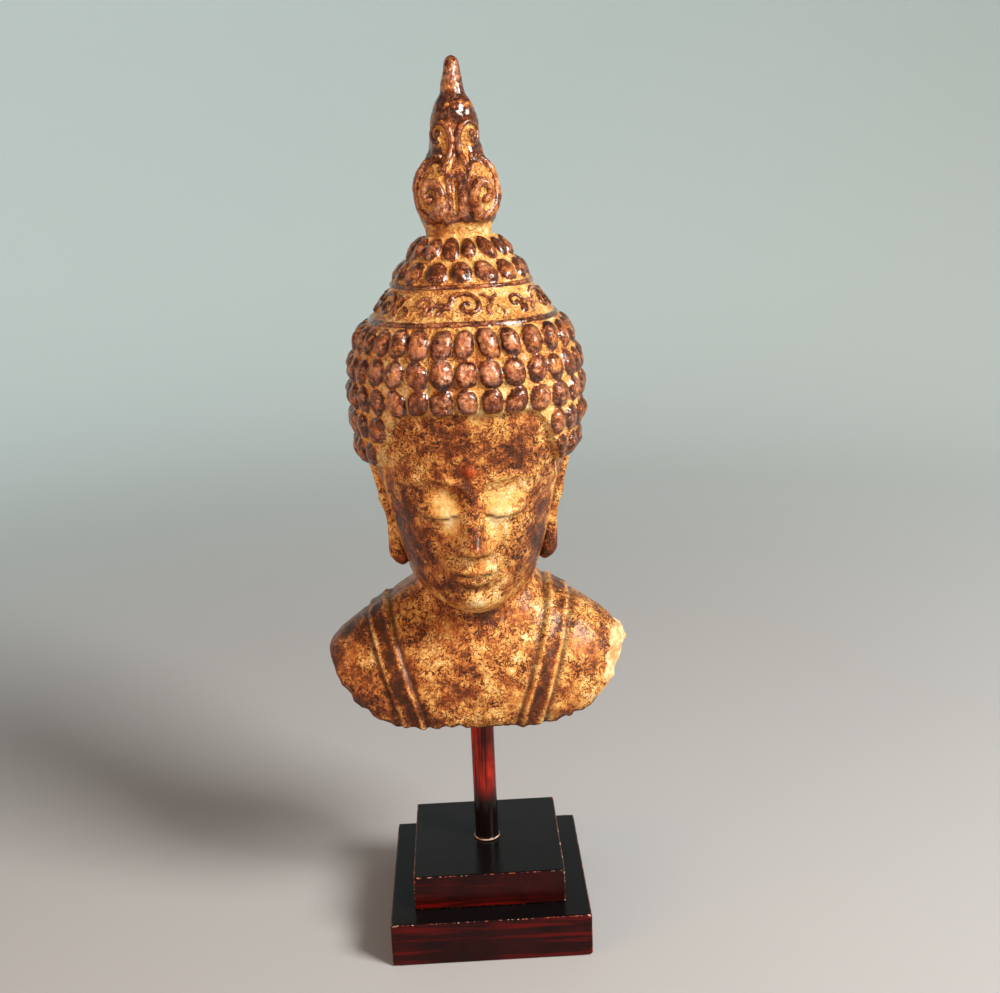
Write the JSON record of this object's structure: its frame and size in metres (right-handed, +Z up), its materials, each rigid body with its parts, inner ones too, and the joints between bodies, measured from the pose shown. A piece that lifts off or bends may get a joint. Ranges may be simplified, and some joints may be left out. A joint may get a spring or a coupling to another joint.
{
  "type": "buddha bust on a stand",
  "caption": "Gilded cast head and shoulders with a curled hairstyle and flame finial, held by a lacquered rod on a stepped square base.",
  "frame": {"origin": "middle of the base's underside", "axes": "+Z up, -Y the way the face looks, +X to the right of a viewer in front"},
  "size_m": [0.1865, 0.1561, 0.54],
  "materials": {
    "gilded_stone": "cast stone, gold and ochre over dark brown, worn and speckled, with a soft sheen",
    "red_lacquer": "glossy red lacquer streaked with black",
    "dark_lacquer": "dark maroon lacquer, rubbed through to pale wood on the edges"
  },
  "bodies": {
    "root": {"bust": "gilded_stone", "rod": "red_lacquer", "upper_block": "dark_lacquer", "lower_block": "dark_lacquer"}
  },
  "joints": []
}
